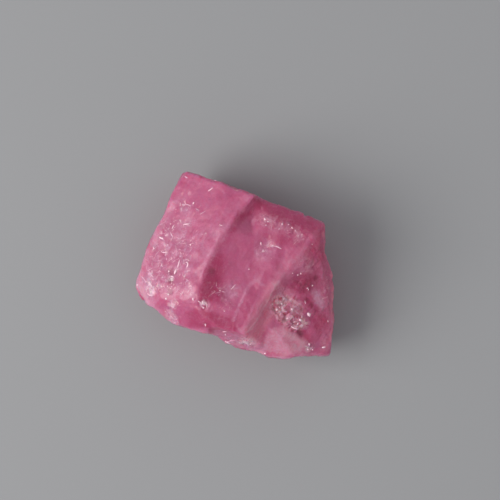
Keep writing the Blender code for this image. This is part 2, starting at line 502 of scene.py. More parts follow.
@dataclass(frozen=True)
class CrackFinish(PearlFinish):
    """The silvery skin of an air-filled crack, whose white is a painted glint: brighter the wider it is."""

    dull_half_width: float = 0.010 * MM
    bright_half_width: float = 0.060 * MM
    flicker: Lumps = Lumps(0.2, 2.0, 0.7)

    def shine(self, kit: NodeKit, vector: Any) -> Signal:
        """How bright each place is, as a painted glint: it follows the crack's width, and flickers along it.
        """
        width = kit.mask("half_width").step(self.dull_half_width, self.bright_half_width)
        return width * 0.7 + kit.lumps(vector, self.flicker).step(0.35, 0.70) * 0.35


@dataclass(frozen=True)
class FloorFinish:
    """A plain pale painted floor."""

    roughness: float = 0.7

    def material(self) -> bpy.types.Material:
        """Build the floor's material.

        Returns:
            The material.
        """
        material, kit = new_material("plain_floor")
        inputs = {"Base Color": Tint.FLOOR.opaque, "Roughness": self.roughness}
        kit.add("ShaderNodeOutputMaterial", {"Surface": kit.add("ShaderNodeBsdfPrincipled", inputs)})
        return material


# Shapes seen from above, for the marks on the skin.


def smooth_step(low: float, high: float, values: np.ndarray) -> np.ndarray:
    """A smooth step over an array that is 0 at low and 1 at high."""
    share = np.clip((values - low) / (high - low), 0.0, 1.0)
    return share * share * (3.0 - 2.0 * share)


def distance_to_path(plan: np.ndarray, path: Sequence[Point]) -> np.ndarray:
    """How far each place is from a path of straight runs.

    Args:
        plan: One row for each place, X and Y.
        path: The path's points.

    Returns:
        A distance for each place.
    """
    nearest = np.full(len(plan), np.inf)
    for start, end in zip(path[:-1], path[1:]):
        run = np.subtract(end, start)
        share = np.clip((plan - start) @ run / (run @ run), 0.0, 1.0)
        gap = plan - start - share[:, None] * run
        nearest = np.minimum(nearest, np.hypot(gap[:, 0], gap[:, 1]))
    return nearest


@dataclass(frozen=True)
class Spot:
    """A soft oval."""

    middle: Point
    half_sizes: Point
    turn: float = 0.0

    def cover(self, plan: np.ndarray) -> np.ndarray:
        """How much of the oval covers each place.

        Args:
            plan: One row for each place, X and Y.

        Returns:
            A share from 0 to 1 for each place.
        """
        angle = math.radians(self.turn)
        away = plan - self.middle
        along = away @ (math.cos(angle), math.sin(angle)) / self.half_sizes[0]
        across = away @ (-math.sin(angle), math.cos(angle)) / self.half_sizes[1]
        return 1.0 - smooth_step(0.3, 1.35, np.hypot(along, across))


class Drawn:
    """A shape that is drawn through points with one width."""

    def __init__(self, width: float, *points: Point) -> None:
        """Keep the width and the points."""
        self.width = width
        self.points = points


class Stripe(Drawn):
    """A soft stripe along a path. Its width is half of the stripe's."""

    def cover(self, plan: np.ndarray) -> np.ndarray:
        """How much of the stripe covers each place, from 0 to 1."""
        return 1.0 - smooth_step(0.2, 1.5, distance_to_path(plan, self.points) / self.width)


class Facet(Drawn):
    """An area inside an outline. Its width is that of its soft edge."""

    def cover(self, plan: np.ndarray) -> np.ndarray:
        """How much of the area covers each place.

        Args:
            plan: One row for each place, X and Y.

        Returns:
            A share from 0 to 1 for each place.
        """
        ring = (*self.points, self.points[0])
        inside = np.zeros(len(plan), bool)
        for (x0, y0), (x1, y1) in zip(ring[:-1], ring[1:]):
            if y0 == y1:
                continue
            crosses = (plan[:, 1] < y0) != (plan[:, 1] < y1)
            inside ^= crosses & (plan[:, 0] < x0 + (plan[:, 1] - y0) * (x1 - x0) / (y1 - y0))
        away = distance_to_path(plan, ring) * np.where(inside, 1.0, -1.0)
        return smooth_step(-self.width / 2, self.width / 2, away)


@dataclass(frozen=True)
class Mark:
    """One thing that the top of the crystal bears: where it is, how it looks and how it stands out.

    Depth, dark, cloud, frost, soft and the painted glow are shares, below 0 where a mark takes some of them
    away. The painted glow stands for light shining through the stone, and it also warms the tint.
    Rise and rough are in millimetres.
    """

    name: str
    shape: Spot | Stripe | Facet
    depth: float = 0.0
    dark: float = 0.0
    cloud: float = 0.0
    frost: float = 0.0
    # the painted glow of light shining through the stone, which also warms the tint
    glow: float = 0.0
    soft: float = 0.0
    rise: float = 0.0
    rough: float = 0.0


LEFT_FACE = Facet(0.67, (-3.61, 4.42), (-0.04, 3.08), (-1.38, 1.15), (-2.34, -1.53), (-5.17, -2.12),
    (-6.95, -1.45), (-6.13, 1.3), (-4.94, 3.38))

SCRATCHED_FACE = Facet(1.0, (-3.75, 5.2), (-2.6, 4.2), (-2.5, 2.4), (-3.1, 0.9), (-3.3, -0.6), (-2.9, -2.0),
    (-5.2, -2.2), (-7.2, -1.5), (-6.2, 1.5), (-5.1, 3.6))

# Where the short pale strokes lie on the top, and the share of them that each place has.
SCRATCHED = (
    (SCRATCHED_FACE, 1.0),
    (Stripe(0.45, (-4.3, -2.3), (-4.5, -3.4), (-4.1, -4.2)), 0.9),
    (Spot((-0.9, -2.3), (1.3, 0.9), -20), 0.6),
    (Stripe(0.42, (2.2, 3.4), (3.1, 3.15), (4.1, 2.75), (5.0, 2.2)), 0.55),
    (Spot((2.4, 1.2), (0.9, 0.6), 20), 0.5),
    (Spot((5.2, 0.1), (0.8, 0.5), -30), 0.8),
    (Stripe(0.35, (-0.2, -5.5), (1.0, -5.8), (2.0, -6.2)), 0.9),
    (Spot((6.9, -1.6), (0.5, 1.2)), 0.5),
)

# Some marks paint light and shade into the colour: glow, highlights, lit and shaded places. Each says so
# where it does.
MARKS = (
    Mark("haze over the left face", LEFT_FACE, cloud=0.24),
    Mark("clearer back corner", Spot((-2.4, 3.4), (1.5, 0.9), -22), cloud=-0.15),
    # painted sheen: the strip before the ridge's edge, which faces the lamp, is painted paler
    Mark("pale strip before the edge", Stripe(0.6, (-0.11, 3.08), (-0.93, 1.97), (-1.67, 0.7), (-2.1, -0.2)),
         cloud=0.12),
    Mark("clearer foot of the edge", Spot((-2.5, -0.7), (0.6, 1.2), -20), cloud=-0.25),
    # painted glow of light through the thin rims, which are painted paler
    Mark("pale left rim", Stripe(0.4, (-4.75, 4.5), (-5.3, 3.5), (-6.2, 1.7), (-6.95, 0.1), (-7.5, -1.5)),
         cloud=0.5, glow=0.15),
    Mark("pale front left rim", Stripe(0.22, (-7.2, -2.3), (-6.2, -3.1), (-5.2, -3.9), (-4.4, -4.5),
         (-3.0, -4.9), (-1.4, -5.3)), cloud=0.4, glow=0.2),
    Mark("pale front rim", Stripe(0.22, (-0.4, -5.95), (1.7, -6.5), (2.5, -6.9), (3.9, -7.05), (5.1, -6.8),
         (7.2, -6.85)), cloud=0.45, glow=0.3),
    Mark("haze by the left rim", Spot((-3.75, 4.2), (0.37, 0.37)), cloud=0.5),
    Mark("haze in the left face", Spot((-4.3, 1.4), (1.1, 0.7), 30), cloud=0.18),
    Mark("crimson strip after the edge", Stripe(0.36, (0.41, 3.68), (-0.19, 2.64), (-0.93, 1.45),
         (-1.53, 0.26), (-1.9, -0.78), (-2.12, -1.82), (-2.34, -2.64)), depth=0.5),
    Mark("eased foot of the edge", Stripe(0.6, (0.9, 3.7), (-0.1, 2.4), (-0.85, 1.1), (-1.45, -0.2),
         (-1.9, -1.9)), soft=0.75),
    Mark("wide shade of the strip", Stripe(0.8, (-1.25, 0.1), (-1.6, -0.9), (-1.8, -2.2)), depth=0.8),
    Mark("deepest stretch of the strip", Spot((-1.9, -1.6), (0.65, 1.25), -22), depth=0.6, dark=0.24),
    Mark("dark fleck in the strip", Spot((-1.66, -0.41), (0.28, 0.34)), dark=0.5),
    # painted shade: the wedge and its tail lie in the shade of the edge beside them, and are painted deeper
    Mark("dark wedge at the back", Facet(0.3, (1.67, 5.24), (2.12, 4.57), (1.67, 3.6), (0.93, 3.68),
         (1.08, 4.42)), depth=0.45, soft=0.8),
    Mark("worn foot of the wedge", Spot((1.4, 4.0), (1.1, 0.9)), depth=0.1, soft=0.7),
    Mark("tail of the wedge", Stripe(0.25, (0.93, 3.83), (0.18, 3.45)), depth=0.5),
    Mark("dark band along the back edge", Stripe(0.7, (2.19, 4.57), (3.53, 3.97), (4.87, 3.23), (6.2, 2.49),
         (6.35, 1.6)), depth=0.68, soft=0.35),
    Mark("speckled band", Stripe(0.62, (2.12, 3.38), (3.08, 3.16), (4.12, 2.71), (4.94, 2.19)), depth=0.6,
         cloud=0.18, frost=0.08, soft=0.9, rough=0.03),
    Mark("crimson band in the middle", Stripe(0.4, (2.34, 2.19), (3.68, 1.89), (4.87, 1.6)), depth=0.5),
    Mark("grey veil in the middle", Spot((2.19, 0.93), (0.95, 0.7), 20), cloud=0.36, rough=0.02),
    # painted highlight: the ridge's top, its crest and the slope behind it that faces the lamp are painted
    # paler, with painted glow
    Mark("soft top of the ridge", Stripe(0.59, (5.16, 1.0), (4.27, 0.26), (3.68, -0.41), (3.16, -1.15)),
         cloud=0.35, glow=0.25),
    Mark("pale back of the ridge", Stripe(0.35, (2.86, -1.38), (2.34, -2.19), (1.67, -3.46), (0.85, -4.87)),
         cloud=0.42, glow=0.5),
    Mark("crest of the ridge", Stripe(0.07, (3.23, -1.15), (2.75, -2.05), (2.04, -3.46), (1.08, -4.94)),
         cloud=0.55, glow=0.2, rise=0.015),
    # painted shade on the steep scarp under the ridge
    Mark("scarp under the ridge", Stripe(0.1, (3.38, -1.45), (2.97, -2.27), (2.5, -3.2)), depth=0.25),
    # painted light: the shaded wall under the scarp is painted paler, with painted glow
    Mark("pale wall under the scarp", Stripe(0.55, (2.95, -2.7), (2.45, -3.6), (1.9, -4.6), (1.5, -5.35)),
         cloud=0.42, glow=0.8, soft=0.6),
    Mark("tongue", Facet(0.14, (1.45, -1.45), (1.89, -1.75), (1.22, -3.38), (0.48, -4.87), (-0.04, -4.79),
         (0.41, -3.09), (0.93, -1.9)), depth=0.35, rise=-0.03),
    Mark("rim of the tongue", Stripe(0.13, (-0.04, -4.05), (0.33, -3.01), (0.78, -1.97), (1.15, -1.38),
         (1.67, -1.12), (2.12, -1.45)), cloud=0.5),
    Mark("foot of the tongue", Stripe(0.1, (0.18, -4.35), (0.56, -4.87)), cloud=0.3),
    Mark("mottling in the middle", Spot((-0.26, -1.9), (0.7, 0.95), -15), cloud=0.4, rough=0.03),
    Mark("crimson blotch", Spot((-1.0, -2.34), (0.5, 0.6)), depth=0.35, rough=0.04),
    Mark("blotch near the back", Spot((-0.19, 2.56), (0.32, 0.28)), depth=0.5),
    Mark("front slope", Facet(0.5, (-2.71, -3.23), (-1.53, -3.46), (0.11, -3.98), (0.26, -4.94),
         (-1.53, -4.87), (-3.31, -4.5), (-3.68, -3.46)), depth=0.8, dark=0.1),
    Mark("rough hollow", Facet(0.3, (3.3, -1.45), (4.87, -1.15), (5.98, -1.53), (5.91, -2.42), (6.2, -3.31),
         (5.83, -4.42), (5.24, -5.31), (4.57, -5.02), (3.6, -4.42), (2.78, -3.9), (2.49, -3.23),
         (2.86, -2.27)), depth=0.45, rough=0.035),
    # painted glow warms the frosted rubble of the hollow, which lies in shade
    Mark("broken floor of the hollow", Facet(0.5, (2.75, -2.4), (3.9, -2.15), (4.9, -2.8), (5.25, -3.9),
         (4.95, -4.75), (4.1, -4.9), (3.3, -4.2), (2.7, -3.4)), depth=-0.1, cloud=0.1, frost=0.17, glow=0.45,
         rough=0.085),
    Mark("veiled upper hollow", Spot((3.6, -1.85), (0.9, 0.5), -30), cloud=0.5, glow=0.4, rough=0.03),
    Mark("deep upper hollow", Spot((4.9, -1.75), (0.9, 0.45), -8), depth=0.4, dark=0.2, rough=0.03),
    Mark("white rubble at the hollow's left", Spot((3.38, -2.86), (0.8, 0.6), 55), cloud=0.85, frost=0.8,
         glow=0.5, rough=0.045),
    Mark("white rubble at the hollow's foot", Spot((4.72, -4.25), (0.75, 0.5), -15), cloud=0.2, frost=0.6,
         glow=0.2, rough=0.06),
    Mark("pale middle of the hollow", Spot((4.6, -3.1), (0.8, 0.6), 0), cloud=0.3, frost=0.12),
    # painted shade in the crevices of the hollow
    Mark("dark pocket below the rubble", Spot((3.68, -3.98), (0.32, 0.22), -20), dark=0.55),
    Mark("dark pocket by the scarp", Spot((3.01, -3.61), (0.22, 0.28)), dark=0.3),
    Mark("shade above the hollow", Spot((5.3, -1.05), (1.15, 0.6), -10), depth=0.9, dark=0.25, rough=0.03),
    *(
        Mark("dark break above the hollow", Spot(middle, half_sizes, turn), depth=0.5, dark=0.35, rough=0.03)
        for middle, half_sizes, turn in (
            ((4.55, -1.12), (0.26, 0.12), -35),
            ((5.00, -1.32), (0.24, 0.15), -15),
            ((5.42, -1.40), (0.22, 0.16), 20),
            ((5.58, -1.08), (0.30, 0.14), -40),
            ((6.02, -0.98), (0.22, 0.20), 10),
            ((5.35, -2.60), (0.22, 0.26), 30),
            ((5.58, -3.02), (0.20, 0.26), 15),
            ((4.90, -5.00), (0.34, 0.20), -35),
        )
    ),
    # painted shade: the pit at the front is painted deeper, with a little painted glow
    Mark("dark pit at the front", Stripe(0.3, (4.79, -5.02), (5.16, -5.31), (5.68, -5.54)), depth=0.8,
         dark=0.1, glow=0.25),
    # a little painted glow on the pale facet, its lit edge and its end
    Mark("pale facet at the front", Facet(0.4, (2.64, -4.87), (3.6, -4.5), (4.2, -5.02), (5.39, -5.76),
         (4.87, -6.43), (3.68, -6.8), (2.34, -6.5), (2.04, -5.69)), cloud=0.76, glow=0.5),
    Mark("lit edge of the pale facet", Stripe(0.3, (3.9, -5.0), (4.2, -5.15), (4.79, -5.55), (5.31, -5.9)),
         cloud=0.55, frost=0.1, glow=0.4, rise=0.02),
    Mark("pale right end of the facet", Spot((4.75, -6.35), (0.75, 0.45), -20), cloud=0.4, glow=0.3),
    Mark("crimson side of the facet", Spot((2.04, -5.31), (0.6, 0.45)), depth=0.3),
    Mark("smooth slope at the right", Spot((6.4, -4.2), (0.7, 1.1)), depth=0.95, dark=0.05),
    Mark("lavender patch", Stripe(0.36, (6.05, -2.19), (6.5, -3.01)), cloud=0.8, rise=0.02),
    Mark("upper right side", Spot((5.91, 0.56), (0.9, 1.2)), depth=0.9, dark=0.07, rough=0.02),
    Mark("flecks above the hollow", Spot((5.2, 0.1), (0.9, 0.7), -20), cloud=0.12, frost=0.09, rough=0.02),
    # painted glow on the thin right rim, and painted light that lifts the right side, which faces away from
    # the lamp
    Mark("pale right rim", Stripe(0.13, (6.7, 2.49), (6.8, 0.93), (7.3, -0.34), (7.42, -1.08), (7.34, -2.79),
         (7.42, -4.35), (7.27, -5.69)), cloud=0.4, glow=0.8),
    Mark("uneven right side", Stripe(0.7, (6.2, 2.3), (6.4, 0.8), (6.8, -0.5), (6.9, -2.6), (6.9, -5.4)),
         cloud=0.08, glow=0.2, rough=0.035),
    Mark("front ledge", Stripe(0.45, (-1.15, -5.09), (-0.19, -5.46), (1.0, -5.84), (2.04, -6.28)),
         cloud=0.45, rough=0.03),
    Mark("rubble on the ledge", Spot((1.0, -5.69), (0.7, 0.42), -10), cloud=0.2, frost=0.4, rough=0.08),
    Mark("pale foot at the front left", Facet(0.3, (-5.31, -3.23), (-4.65, -3.23), (-4.2, -3.9),
         (-4.27, -4.5), (-4.94, -4.27)), cloud=0.6, frost=0.15, rough=0.05),
    Mark("rubble above the foot", Spot((-4.57, -2.94), (0.42, 0.34)), cloud=0.3, frost=0.3, rough=0.06),
    Mark("worn foot of the left face", Stripe(0.8, (-6.9, -1.9), (-6.0, -2.0), (-4.9, -2.2), (-3.9, -2.4),
         (-2.9, -2.6)), soft=1.3),
    # painted glow on the left tip, and painted light on the shaded break under it
    Mark("glow of the left tip", Spot((-6.7, -1.3), (0.85, 0.85)), cloud=0.45, glow=0.1),
    Mark("haze below the tip", Spot((-6.8, -2.5), (1.1, 0.7), -40), cloud=0.5),
    Mark("pale break under the tip", Spot((-7.0, -2.2), (0.55, 0.75), 25), cloud=0.75, glow=0.6),
    Mark("white scar on the left tip", Facet(0.34, (-6.73, -1.15), (-6.36, -1.15), (-5.91, -2.05),
         (-6.21, -2.34), (-6.58, -2.05)), cloud=0.55, frost=0.42, rise=0.03, rough=0.05),
    Mark("pale spot by the tip", Spot((-5.65, -1.6), (0.22, 0.22)), cloud=0.6, frost=0.3),
    Mark("upper shadow of the crack", Spot((-4.72, -0.41), (0.5, 0.34)), depth=0.6, dark=0.25, rise=-0.04),
    Mark("middle shadow of the crack", Spot((-4.76, -1.15), (0.26, 0.32)), dark=0.5, rise=-0.05),
    Mark("lower shadow of the crack", Spot((-4.83, -1.93), (0.22, 0.3)), dark=0.4, rise=-0.05),
    Mark("crimson beside the tip", Spot((-5.3, -0.9), (0.5, 0.5)), depth=0.3),
    Mark("pit on the front slope", Spot((-2.28, -2.86), (0.39, 0.4)), rise=-0.12),
    Mark("bead in the pit", Spot((-2.28, -2.86), (0.26, 0.3)), cloud=0.5, frost=0.6, rise=0.15),
    Mark("white rubble at the front corner", Spot((5.61, -6.17), (0.34, 0.42), -40), cloud=0.4, frost=0.6,
         rough=0.08),
    # painted glow on the pale front corner
    Mark("pale front corner", Spot((6.72, -5.98), (0.4, 0.6)), cloud=0.4, glow=0.4),
)


# The crystal.


def grain(points: np.ndarray, size: float, seed: int) -> np.ndarray:
    """Smooth noise over points.

    Args:
        points: One row for each point, in millimetres.
        size: The size of the noise's lumps.
        seed: A number that picks the noise.

    Returns:
        A value from about -1 to 1 for each point.
    """
    away = Vector((17.3, 5.9, 11.1)) * seed
    return np.array([noise.noise(Vector(point) + away) for point in points / size])


def splinters(points: np.ndarray, size: float, seed: int) -> np.ndarray:
    """The height of broken rock: flat pieces of this size, each of which leans its own way.

    Args:
        points: One row for each point, in millimetres.
        size: The size of the pieces.
        seed: A number that picks the pieces.

    Returns:
        A height from about -1 to 1 for each point.
    """
    places = points / size + seed
    middles = np.array([tuple(noise.voronoi(Vector(place))[1][0]) for place in places])
    lean = np.sin(middles @ ((127.1, 269.5, 113.5), (311.7, 183.3, 271.9), (74.7, 246.1, 124.6)))
    return ((places - middles) * lean).sum(axis=1) + 0.4 * lean[:, 0]


def relaxed(points: np.ndarray, edges: np.ndarray, rounds: int) -> np.ndarray:
    """Smooth a mesh by moving each point halfway to the middle of its neighbours.

    Args:
        points: One row for each point.
        edges: The two point numbers of each edge.
        rounds: How many times to move them.

    Returns:
        The moved points.
    """
    ends = edges.T.ravel()
    others = edges[:, ::-1].T.ravel()
    count = np.bincount(ends, minlength=len(points))
    for _ in range(rounds):
        sums = (np.bincount(ends, axis[others], len(points)) / count for axis in points.T)
        points = (points + np.stack(list(sums), axis=1)) / 2
    return points


def read_vectors(items: Any, name: str) -> np.ndarray:
    """Read a vector property of all the points, edges or faces of a mesh.

    Args:
        items: The mesh's points, edges or faces.
        name: The property.

    Returns:
        One row for each.
    """
    values = np.empty(len(items) * 3, np.float32)
    items.foreach_get(name, values)
    return values.reshape(-1, 3).astype(float)


def new_mesh(name: str, shape: bmesh.types.BMesh) -> bpy.types.Mesh:
    """Turn a drawn shape into a mesh, and free the shape.

    Args:
        name: The mesh's name.
        shape: The drawn shape.

    Returns:
        The mesh.
    """
    mesh = bpy.data.meshes.new(name)
    shape.to_mesh(mesh)
    shape.free()
    return mesh


def in_scene(name: str, data: Any) -> bpy.types.Object:
    """Put something in the scene as an object at the origin.

    Args:
        name: The object's name.
        data: The mesh, the lamp or the camera.

    Returns:
        The object.
    """
    made = bpy.data.objects.new(name, data)
    bpy.context.scene.collection.objects.link(made)
    return made


def fixed(made: bpy.types.Object) -> bpy.types.Object:
    """Turn what an object's modifiers make into its plain mesh, and take the modifiers off.

    Args:
        made: The object.

    Returns:
        The same object.
    """
    graph = bpy.context.evaluated_depsgraph_get()
    mesh = bpy.data.meshes.new_from_object(made.evaluated_get(graph))
    made.modifiers.clear()
    made.data = mesh
    return made


def finished(piece: bpy.types.Object) -> bpy.types.Object:
    """Let a finished piece ride on the crystal's body, and report it.

    Args:
        piece: The piece.

    Returns:
        The same piece.
    """
    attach(piece, BODY)
    LOG.info("%s: %d faces", piece.name, len(piece.data.polygons))
    return piece


@dataclass(frozen=True)
class Relief:
    """One layer of the skin's relief: its height, the size of its shapes, and the seed that picks them."""

    height: float
    size: float
    seed: int

    def waves(self, points: np.ndarray) -> np.ndarray:
        """Smooth waves."""
        return self.height * grain(points, self.size, self.seed)

    def steps(self, points: np.ndarray) -> np.ndarray:
        """Waves with flat tops and flat floors."""
        return self.height * np.tanh(3.0 * grain(points, self.size, self.seed))

    def pieces(self, points: np.ndarray) -> np.ndarray:
        """Broken pieces."""
        return self.height * splinters(points, self.size, self.seed)


@dataclass
class CrystalSkin:
    """The crystal's outer skin, made finer than the solid's and carved with what it bears."""

    cell: float = 0.084  # the skin's faces are about this wide
    rounds: int = 4  # of smoothing, before the points go back to the solid's faces
    settle: int = 2  # rounds of smoothing after that
    wander: tuple[Relief, Relief] = (Relief(0.13, 0.9, 1), Relief(0.13, 0.9, 2))  # of the marks' edges
    fray: tuple[Relief, Relief] = (Relief(0.06, 0.28, 6), Relief(0.06, 0.28, 7))
    wear_rounds: int = 126  # of smoothing, where an edge is worn soft
    edge_reach: int = 10  # rounds of smoothing that find the edges
    edge_height: float = 0.05  # an edge that stands out this far is fully worn
    chunks: Relief = Relief(1.0, 0.36, 1)  # in the rough places
    crumbs: Relief = Relief(0.5, 0.36 * 0.4, 2)  # the smaller ones
    ripple: Relief = Relief(0.035, 0.9, 3)  # the waves of the break
    groove: Relief = Relief(0.012, 0.16, 4)  # the growth lines
    groove_stretch: float = 7.0  # how many times longer than wide they are
    tooth: Relief = Relief(0.016, 0.22, 5)  # the finest relief
    wall_ripple: Relief = Relief(0.06, 1.5, 9)  # the long waves of the walls
    wall_groove: Relief = Relief(0.030, 0.20, 4)  # the growth lines on the prism's walls
    wall_break: Relief = Relief(0.075, 1.3, 3)  # the pieces that the two broken ends are made of
    wall_shard: Relief = Relief(0.035, 0.55, 4)  # the smaller pieces on them
    nick: Relief = Relief(1.0, 0.45, 8)  # the nicks in the edges
    nick_depth: float = 0.10
    nick_frost: Relief = Relief(1.0, 0.9, 10)  # where they are frosted
    nick_frosting: float = 0.45
    scratch: Relief = Relief(1.0, 2.2, 12)  # where the walls bear pale strokes
    scratch_share: float = 0.35
    finish: RubelliteFinish = field(default_factory=RubelliteFinish)

    def fine_mesh(self) -> bpy.types.Mesh:
        """Copy the solid, in millimetres, and give it small even faces.

        Returns:
            The fine mesh.
        """
        shape = bmesh.new()
        shape.from_mesh(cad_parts[CRYSTAL_NODE].data)
        bmesh.ops.remove_doubles(shape, verts=shape.verts[:], dist=0.001 * MM)
        bmesh.ops.scale(shape, vec=(1 / MM,) * 3, verts=shape.verts[:])
        helper = in_scene("helper", new_mesh("crystal", shape))
        remesh = helper.modifiers.new("even skin", "REMESH")
        remesh.mode = "VOXEL"
        remesh.voxel_size = self.cell
        fine = fixed(helper).data
        bpy.data.objects.remove(helper)
        return fine

    def settled(self, mesh: bpy.types.Mesh, edges: np.ndarray) -> np.ndarray:
        """Smooth the fine mesh, and lay its points back on the solid's faces.

        Args:
            mesh: The fine mesh, whose points are moved.
            edges: The two point numbers of each of its edges.

        Returns:
            The moved points.
        """
        points = relaxed(read_vectors(mesh.vertices, "co"), edges, self.rounds)
        solid = BVHTree.FromObject(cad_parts[CRYSTAL_NODE], bpy.context.evaluated_depsgraph_get())
        near = (solid.find_nearest(Vector(point) * MM)[0] for point in points)
        points = relaxed(np.array([tuple(place) for place in near]) / MM, edges, self.settle)
        mesh.vertices.foreach_set("co", points.astype(np.float32).ravel())
        mesh.update()
        return points

    def marked(self, points: np.ndarray, normals: np.ndarray) -> dict[str, np.ndarray]:
        """Add up the marks that each point lies in.

        Args:
            points: The skin's points.
            normals: Which way the skin faces there.

        Returns:
            The masks by name, one value for each point.
        """
        astray, frayed = (
            np.stack([layer.waves(points) for layer in pair], axis=1) for pair in (self.wander, self.fray)
        )
        plan = points[:, :2] + astray + frayed
        upward = smooth_step(0.0, 0.30, normals[:, 2])
        names = ("depth", "dark", "cloud", "frost", "glow", "soft", "rough", "rise")
        masks = {name: np.zeros(len(points)) for name in names}
        for mark in MARKS:
            cover = mark.shape.cover(plan) * upward
            for name, values in masks.items():
                values += getattr(mark, name) * cover
        masks["wall"] = 1.0 - smooth_step(0.15, 0.55, normals[:, 2])
        masks["face"] = np.max([area.cover(plan) * share for area, share in SCRATCHED], axis=0) * upward
        return masks

    def relief(
        self, points: np.ndarray, lines: np.ndarray, normals: np.ndarray, masks: dict[str, np.ndarray]
    ) -> np.ndarray:
        """Work out how far each point is pushed out, and frost the nicks in the edges.

        Args:
            points: The skin's points.
            lines: The same points in a pattern's axes, squeezed along the growth lines.
            normals: Which way the skin faces there.
            masks: The skin's masks.

        Returns:
            The push for each point.
        """
        rough, wall = masks["rough"], masks["wall"]
        prism = wall * np.abs(normals[:, :2] @ ACROSS)
        broken = wall * np.abs(normals[:, :2] @ ALONG)
        nick = smooth_step(0.2, 0.9, masks["edge"]) * smooth_step(0.0, 0.4, self.nick.waves(points))
        masks["frost"] += self.nick_frosting * nick * smooth_step(0.0, 0.3, self.nick_frost.waves(points))
        push = masks.pop("rise") + rough * self.chunks.pieces(points)
        push += rough * self.crumbs.pieces(points)
        push += self.ripple.waves(points)
        push -= self.nick_depth * nick
        push += self.groove.waves(lines)
        push += prism * self.wall_groove.steps(lines)
        push += (1.0 - broken) * wall * self.wall_ripple.waves(points)
        push += broken**2 * self.wall_break.pieces(points)
        push += broken * self.wall_shard.pieces(points)
        return push + self.tooth.waves(points)

    def carved(self, mesh: bpy.types.Mesh) -> dict[str, np.ndarray]:
        """Smooth the skin and carve its relief, in millimetres, then scale it to metres.

        Args:
            mesh: The fine mesh, whose points are moved.

        Returns:
            The skin's masks by name, one value for each point.
        """
        edges = np.empty(len(mesh.edges) * 2, np.int32)
        mesh.edges.foreach_get("vertices", edges)
        edges = edges.reshape(-1, 2)
        points = self.settled(mesh, edges)
        normals = read_vectors(mesh.vertices, "normal")
        masks = self.marked(points, normals)
        bulge = np.einsum("ij,ij->i", points - relaxed(points, edges, self.edge_reach), normals)
        masks["edge"] = np.clip(bulge / self.edge_height, -1.0, 1.0)
        along, across = (points @ (*way, 0.0) for way in (ALONG, ACROSS))
        lines = np.stack([along / self.groove_stretch, across, points[:, 2]], axis=1)
        soft = np.clip(masks.pop("soft"), 0.0, 1.0)[:, None]
        points = points + soft * (relaxed(points, edges, self.wear_rounds) - points)
        push = self.relief(points, lines, normals, masks) * smooth_step(0.05, 0.5, points[:, 2])
        points = points + normals * push[:, None]
        low, high = (np.array(corner) / MM for corner in CAD_BOX)
        points = np.clip(points, low, high)
        mesh.vertices.foreach_set("co", (points * MM).astype(np.float32).ravel())
        masks["flank"] = masks["wall"] * smooth_step(0.4, 0.8, points[:, 2])
        masks["rubble"] = smooth_step(0.06, 0.16, masks["rough"]) + masks["frost"]
        scratched = smooth_step(0.05, 0.35, self.scratch.waves(points))
        masks["face"] += self.scratch_share * masks["flank"] * scratched
        masks["whole"] = smooth_step(0.4, 1.0, points[:, 2])
        return masks

    def build(self) -> bpy.types.Object:
        """Make the skin, dress it and let it stand for the solid.

        Returns:
            The crystal's piece.
        """
        mesh = self.fine_mesh()
        for name, values in self.carved(mesh).items():
            stored = mesh.attributes.new(name, "FLOAT", "POINT")
            stored.data.foreach_set("value", values.astype(np.float32))
        mesh.shade_smooth()
        mesh.materials.clear()
        mesh.materials.append(self.finish.material())
        mesh.update()
        piece = in_scene("crystal", mesh)
        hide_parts(CRYSTAL_NODE)
        return finished(piece)


# What lies in the crystal and breaks through its skin.


class TreeKit(NodeKit):
    """Adds nodes to one Geometry Nodes tree, which has a geometry input and named inputs."""

    def __init__(self, name: str, sizes: Mapping[str, float | int]) -> None:
        """Start the tree.

        Args:
            name: The tree's name.
            sizes: What each named input will be set to.
        """
        super().__init__(bpy.data.node_groups.new(name, "GeometryNodeTree"))
        self.new_socket("Geometry", "INPUT", "NodeSocketGeometry")
        self.identifiers = {
            label: self.new_socket(label, "INPUT", f"NodeSocket{type(value).__name__.capitalize()}")
            for label, value in sizes.items()
        }
        self.new_socket("Geometry", "OUTPUT", "NodeSocketGeometry")
        self.entry = self.add("NodeGroupInput")
        self.given = {label: Signal(self, self.entry.outputs[label]) for label in sizes}

    def new_socket(self, label: str, side: str, kind: str) -> str:
        """Add a socket to the tree itself, and return its identifier."""
        return self.tree.interface.new_socket(label, in_out=side, socket_type=kind).identifier


class Grown:
    """A piece that Geometry Nodes grow. Its sizes are the named inputs of its tree."""

    name: str
    finish: PearlFinish

    def sizes(self) -> dict[str, float | int]:
        """The value of each named input of the tree."""
        raise NotImplementedError

    def tree(self, kit: TreeKit) -> bpy.types.Node:
        """Build the tree's middle, and return the node that gives what it grows."""
        raise NotImplementedError

    def grown(self, mesh: bpy.types.Mesh) -> bpy.types.Object:
        """Run the tree on a mesh, and fix what it makes.

        Args:
            mesh: The mesh that goes in.

        Returns:
            The finished piece.
        """
        kit = TreeKit(self.name, self.sizes())
        real = kit.add("GeometryNodeRealizeInstances", {"Geometry": self.tree(kit)})
        inputs = {"Geometry": real, "Material": self.finish.material()}
        kit.add("NodeGroupOutput", {"Geometry": kit.add("GeometryNodeSetMaterial", inputs)})
        piece = in_scene(self.name, mesh)
        modifier = piece.modifiers.new(self.name, "NODES")
        modifier.node_group = kit.tree
        for label, value in self.sizes().items():
            modifier[kit.identifiers[label]] = value
        return finished(fixed(piece))


